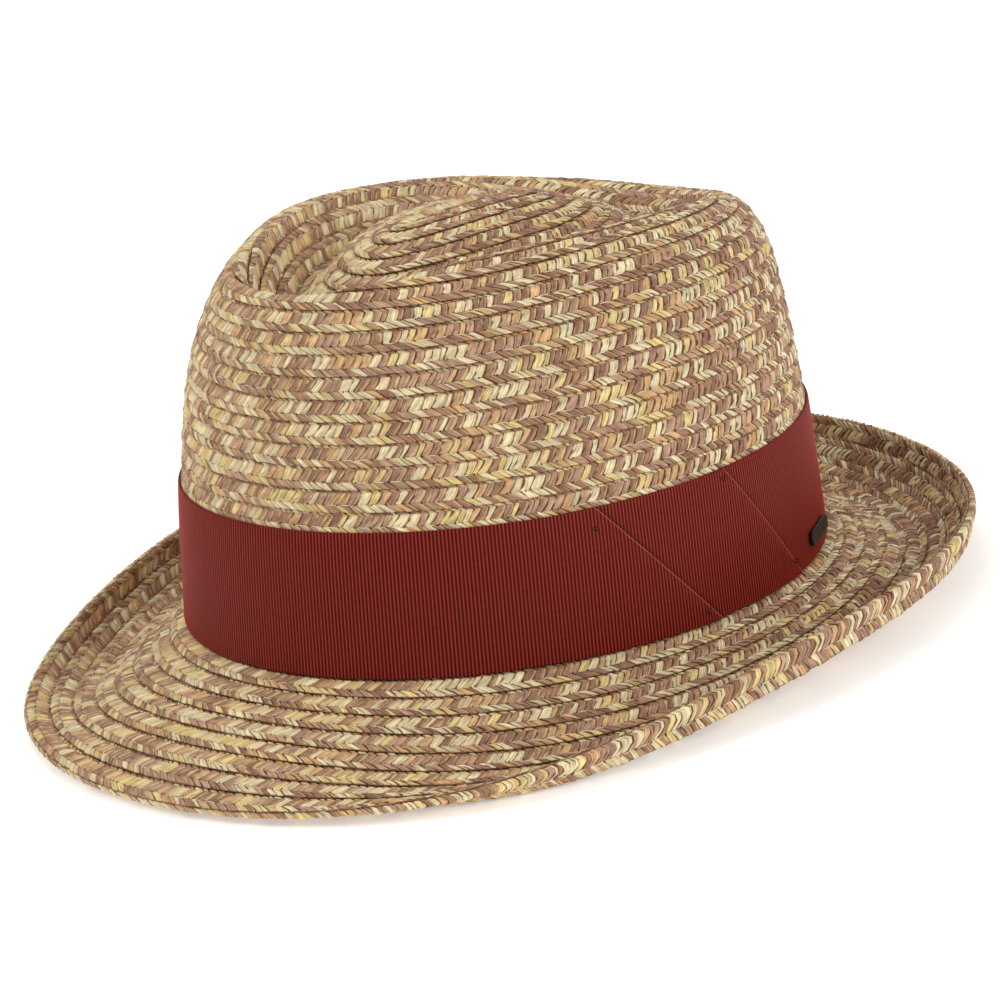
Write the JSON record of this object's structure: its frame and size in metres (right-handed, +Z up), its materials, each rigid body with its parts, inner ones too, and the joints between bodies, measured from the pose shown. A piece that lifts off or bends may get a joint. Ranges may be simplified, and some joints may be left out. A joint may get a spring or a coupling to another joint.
{
  "type": "trilby hat",
  "caption": "Straw trilby sewn from braid, with a teardrop crown, a brim turned down in front and up at the back, a ribbed ribbon band and a small plain tab.",
  "frame": {"origin": "on the surface that the hat rests on, under the middle of its outline", "axes": "+Z up, the front of the hat towards -Y, the wearer's left towards +X"},
  "size_m": [0.2512, 0.3014, 0.128],
  "materials": {
    "straw_braid": "matt sewn straw braid, mottled mauve brown, cream and yellow",
    "grosgrain_ribbon": "rust red ribbed ribbon with a soft sheen",
    "black_metal": "black enamelled, semi-gloss"
  },
  "bodies": {
    "root": {"crown": "straw_braid", "brim": "straw_braid", "ribbon": "grosgrain_ribbon", "tab": "black_metal"}
  },
  "joints": []
}
